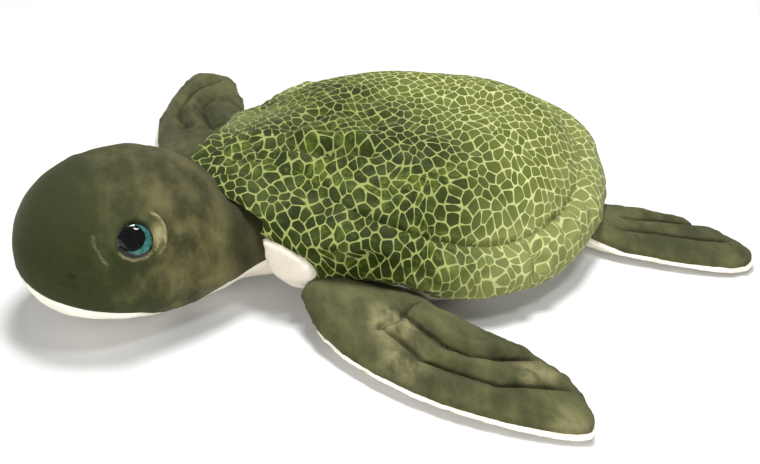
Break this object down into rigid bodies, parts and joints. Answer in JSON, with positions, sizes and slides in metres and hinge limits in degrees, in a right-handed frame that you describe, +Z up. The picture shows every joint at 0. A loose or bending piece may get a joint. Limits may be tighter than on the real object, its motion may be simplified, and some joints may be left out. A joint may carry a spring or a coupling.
{
  "type": "stuffed toy turtle",
  "caption": "Large plush sea turtle lying on its belly: domed printed shell with puffed rim, nodding head with safety eyes, channelled flippers that lift and sweep",
  "frame": {"origin": "on the floor under the middle of the body, on the flat underside of the belly", "axes": "+Z up, the head points to -Y, the turtle's left side is +X"},
  "size_m": [0.7768, 0.6652, 0.147],
  "materials": {
    "shell_print": "short pile plush, printed with a reticulated scale pattern",
    "olive_plush": "short pile olive plush",
    "cream_plush": "short pile cream plush",
    "stuffing": "loose polyester fibre",
    "clear_lens": "clear moulded plastic, polished",
    "teal_iris": "gloss",
    "black_plastic": "gloss",
    "white_plastic": "moulded"
  },
  "bodies": {
    "torso": {"shell_top_panel": "shell_print", "shell_rim_band": "shell_print", "belly_panel": "cream_plush", "body_stuffing": "stuffing"},
    "head": {"head_skin": "olive_plush", "chin_panel": "cream_plush", "head_stuffing": "stuffing", "eyelid_patch_left": "olive_plush", "eye_iris_left": "teal_iris", "eye_pupil_left": "black_plastic", "eye_lens_left": "clear_lens", "eye_washer_left": "white_plastic", "eyelid_patch_right": "olive_plush", "eye_iris_right": "teal_iris", "eye_pupil_right": "black_plastic", "eye_lens_right": "clear_lens", "eye_washer_right": "white_plastic"},
    "front_flipper_left": {"front_flipper_left_upper_panel": "olive_plush", "front_flipper_left_under_panel": "cream_plush", "front_flipper_left_stuffing": "stuffing"},
    "front_flipper_right": {"front_flipper_right_upper_panel": "olive_plush", "front_flipper_right_under_panel": "cream_plush", "front_flipper_right_stuffing": "stuffing"},
    "rear_flipper_left": {"rear_flipper_left_upper_panel": "olive_plush", "rear_flipper_left_under_panel": "cream_plush", "rear_flipper_left_stuffing": "stuffing"},
    "rear_flipper_right": {"rear_flipper_right_upper_panel": "olive_plush", "rear_flipper_right_under_panel": "cream_plush", "rear_flipper_right_stuffing": "stuffing"}
  },
  "joints": [
    {"name": "neck_nod", "type": "hinge", "parent": "torso", "child": "head", "pos_m": [0.01, -0.197, 0.046], "axis": [-1, 0, 0], "range_deg": [-25, 12]},
    {"name": "front_left_lift", "type": "hinge", "parent": "torso", "child": "front_flipper_left", "pos_m": [0.14438, -0.15211, 0.02], "axis": [-0.788, -0.6157, 0], "range_deg": [-30, 25]},
    {"name": "front_right_lift", "type": "hinge", "parent": "torso", "child": "front_flipper_right", "pos_m": [-0.14438, -0.15211, 0.02], "axis": [-0.788, 0.6157, 0], "range_deg": [-30, 25]},
    {"name": "rear_left_sweep", "type": "hinge", "parent": "torso", "child": "rear_flipper_left", "pos_m": [0.1379, 0.08789, 0.015], "axis": [0, 0, 1], "range_deg": [-10, 86]},
    {"name": "rear_right_sweep", "type": "hinge", "parent": "torso", "child": "rear_flipper_right", "pos_m": [-0.1379, 0.08789, 0.015], "axis": [0, 0, -1], "range_deg": [-94, 2]}
  ]
}
